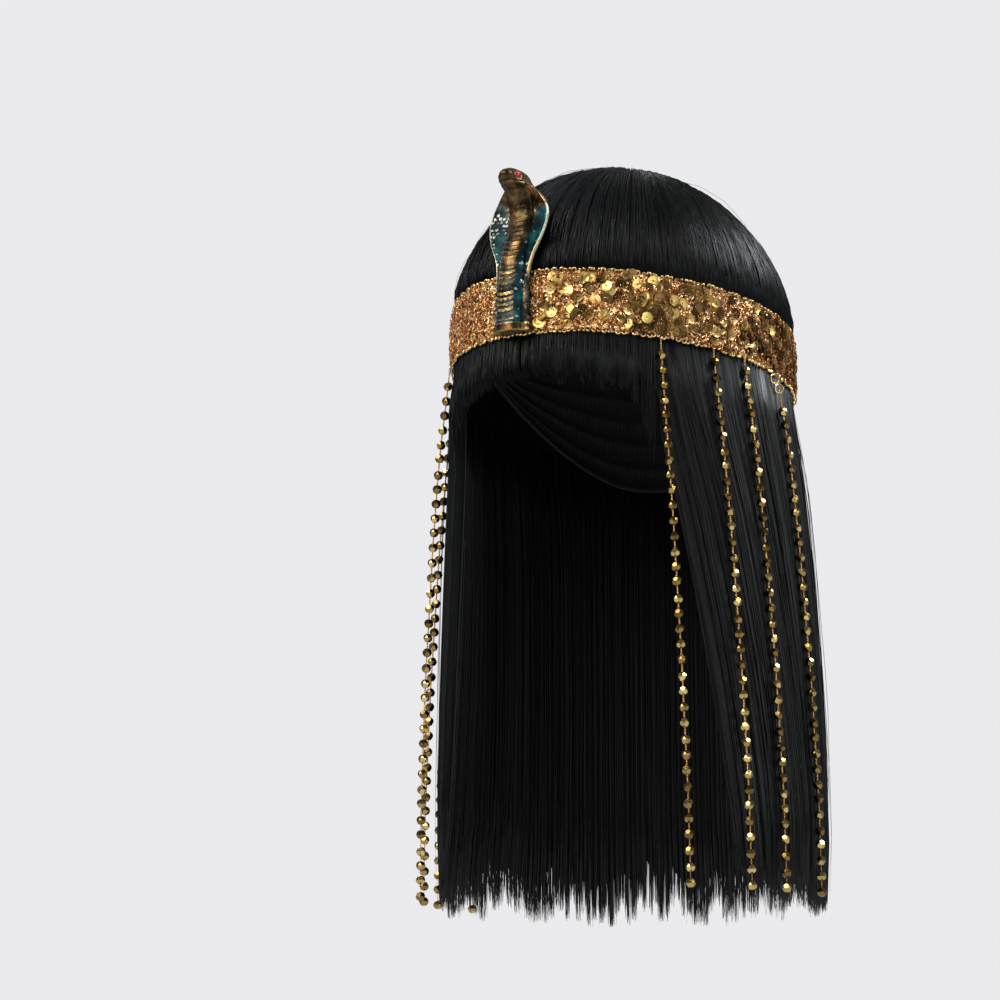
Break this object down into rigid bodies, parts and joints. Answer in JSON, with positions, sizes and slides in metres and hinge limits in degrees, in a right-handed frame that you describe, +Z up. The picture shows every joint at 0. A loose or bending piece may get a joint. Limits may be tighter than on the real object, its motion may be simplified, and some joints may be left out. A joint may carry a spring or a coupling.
{
  "type": "egyptian queen wig",
  "caption": "Straight black costume wig with a cut fringe, a gold sequinned headband with a rearing cobra at the brow, and strings of gold beads hanging from the band over the hair.",
  "frame": {"origin": "inside of the cap at the top of the head, where the wig sits on the head", "axes": "+Z up, the face towards -Y, the wearer's left towards +X"},
  "size_m": [0.2152, 0.2285, 0.3944],
  "materials": {
    "hair": "glossy straight black synthetic fibre",
    "cap_net": "matt black elastic net",
    "sequin_band": "copper-gold glitter thread with flat gold sequins",
    "cobra": "dark teal moulding dry-brushed with antique gold",
    "eye": "glossy red paint",
    "beads": "faceted beads with a bright gold metal coating"
  },
  "bodies": {
    "root": {"wig_cap": "cap_net", "crown_hair": "hair", "fringe": "hair", "long_hair": "hair", "headband": "sequin_band", "cobra": "cobra", "cobra_eye_left": "eye", "cobra_eye_right": "eye", "bead_string_left_1": "beads", "bead_string_left_2": "beads", "bead_string_left_3": "beads", "bead_string_left_4": "beads", "bead_string_right_1": "beads", "bead_string_right_2": "beads", "bead_string_right_3": "beads", "bead_string_right_4": "beads"}
  },
  "joints": []
}
